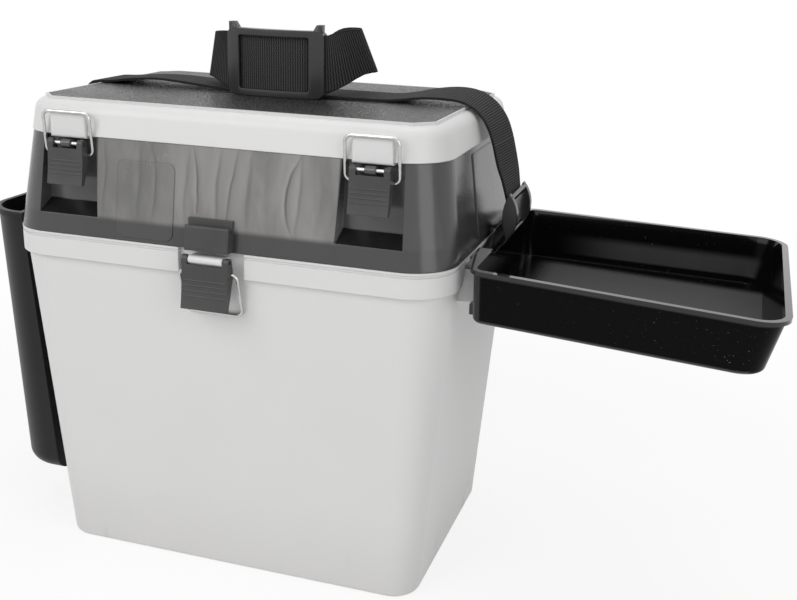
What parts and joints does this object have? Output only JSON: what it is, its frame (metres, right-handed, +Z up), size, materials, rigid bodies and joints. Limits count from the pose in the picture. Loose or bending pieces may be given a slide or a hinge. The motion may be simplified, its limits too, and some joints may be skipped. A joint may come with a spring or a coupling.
{
  "type": "ice fishing box",
  "caption": "Tapered seat box with a hinged smoke-grey upper tier, hinged padded lid, wire draw latches, a hang-on side tray, a hang-on side bin and a webbing carrying strap.",
  "frame": {"origin": "centre of the container's flat underside", "axes": "+X along the front towards the tray, +Y to the hinges at the back, +Z up"},
  "size_m": [0.6482, 0.2765, 0.437],
  "materials": {
    "white_plastic": "satin off-white",
    "smoke_plastic": "smoke grey, slightly clear",
    "lever_plastic": "satin black",
    "bright_wire": "plated wire",
    "pin_steel": "plain steel",
    "mat_rubber": "grained black",
    "tray_plastic": "gloss black",
    "bin_plastic": "satin black",
    "webbing": "woven black webbing",
    "fitting_plastic": "gloss black"
  },
  "bodies": {
    "container": {"lower_container": "white_plastic", "tier_hinge_pins": "pin_steel", "strap_bars": "pin_steel", "middle_latch_pin": "pin_steel", "strap_right_lower": "webbing", "strap_left_lower": "webbing"},
    "tier": {"upper_tier": "smoke_plastic", "lid_hinge_pins": "pin_steel", "upper_latch_pins": "pin_steel", "middle_catch": "lever_plastic", "catch_rivets": "pin_steel", "strap_right_upper": "webbing", "strap_left_upper": "webbing", "strap_buckle": "fitting_plastic"},
    "lid": {"lid_shell": "white_plastic", "lid_lugs": "white_plastic", "seat_mat": "mat_rubber", "strap_right_top": "webbing", "strap_left_top": "webbing", "strap_standing_loop": "webbing", "strap_keeper": "fitting_plastic"},
    "left_latch": {"left_lever": "lever_plastic"},
    "right_latch": {"right_lever": "lever_plastic"},
    "middle_latch": {"middle_lever": "lever_plastic"},
    "left_wire": {"left_bail": "bright_wire"},
    "right_wire": {"right_bail": "bright_wire"},
    "middle_wire": {"middle_bail": "bright_wire"},
    "tray": {"side_tray": "tray_plastic"},
    "bin": {"side_bin": "bin_plastic"}
  },
  "joints": [
    {"name": "tier_hinge", "type": "hinge", "parent": "container", "child": "tier", "pos_m": [0, 0.1318, 0.27835], "axis": [-1, 0, 0], "range_deg": [0, 95], "deforming": ["strap_right_lower", "strap_left_lower"]},
    {"name": "lid_hinge", "type": "hinge", "parent": "tier", "child": "lid", "pos_m": [0, 0.12075, 0.35365], "axis": [-1, 0, 0], "range_deg": [0, 100], "deforming": ["strap_right_upper", "strap_left_upper"]},
    {"name": "left_lever_pivot", "type": "hinge", "parent": "tier", "child": "left_latch", "pos_m": [-0.1225, -0.1193, 0.348], "axis": [-1, 0, 0], "range_deg": [0, 100]},
    {"name": "right_lever_pivot", "type": "hinge", "parent": "tier", "child": "right_latch", "pos_m": [0.1225, -0.1193, 0.348], "axis": [-1, 0, 0], "range_deg": [0, 100]},
    {"name": "left_bail_swing", "type": "hinge", "parent": "left_latch", "child": "left_wire", "pos_m": [-0.1225, -0.1158, 0.3395], "axis": [-1, 0, 0], "range_deg": [-125, 0]},
    {"name": "right_bail_swing", "type": "hinge", "parent": "right_latch", "child": "right_wire", "pos_m": [0.1225, -0.1158, 0.3395], "axis": [-1, 0, 0], "range_deg": [-125, 0]},
    {"name": "middle_lever_pivot", "type": "hinge", "parent": "container", "child": "middle_latch", "pos_m": [0, -0.133, 0.2725], "axis": [-1, 0, 0], "range_deg": [0, 80]},
    {"name": "middle_bail_swing", "type": "hinge", "parent": "middle_latch", "child": "middle_wire", "pos_m": [0, -0.1315, 0.263], "axis": [-1, 0, 0], "range_deg": [0, 100]},
    {"name": "tray_lift", "type": "slide", "parent": "container", "child": "tray", "axis": [0, 0, 1], "range_m": [0, 0.012]},
    {"name": "bin_lift", "type": "slide", "parent": "container", "child": "bin", "axis": [0, 0, 1], "range_m": [0, 0.012]}
  ],
  "couplings": [
    {"joint": "left_bail_swing", "follows": "left_lever_pivot", "ratio": -1.25},
    {"joint": "right_bail_swing", "follows": "right_lever_pivot", "ratio": -1.25}
  ]
}
